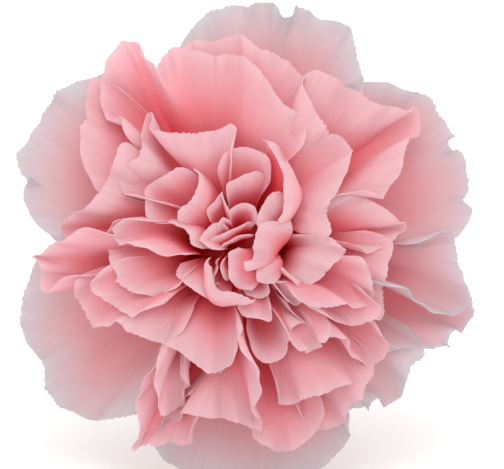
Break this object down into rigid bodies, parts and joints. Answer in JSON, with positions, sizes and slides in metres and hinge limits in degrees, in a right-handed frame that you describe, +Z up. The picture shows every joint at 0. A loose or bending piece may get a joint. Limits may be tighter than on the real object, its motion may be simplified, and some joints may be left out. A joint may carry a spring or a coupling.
{
  "type": "cut carnation flower",
  "caption": "Cut carnation lying on a surface: a double, ruffled salmon-pink bloom that faces the front, held in a toothed green calyx on a stem with narrow leaves",
  "frame": {"origin": "middle of the footprint of the whole flower, on the surface that it lies on", "axes": "+Z up, +Y from the bloom towards the cut end of the stem, the bloom faces -Y, +X to the right of someone who looks into the bloom"},
  "size_m": [0.0798, 0.165, 0.0809],
  "materials": {
    "petal": "soft matte, pale at the margins and deep pink in the folds",
    "calyx": "waxy green",
    "ovary": "smooth pale green",
    "stem": "waxy grey-green with a pale bloom"
  },
  "bodies": {
    "root": {"petals": "petal", "calyx": "calyx", "ovary": "ovary", "leafy_stem": "stem"}
  },
  "joints": []
}
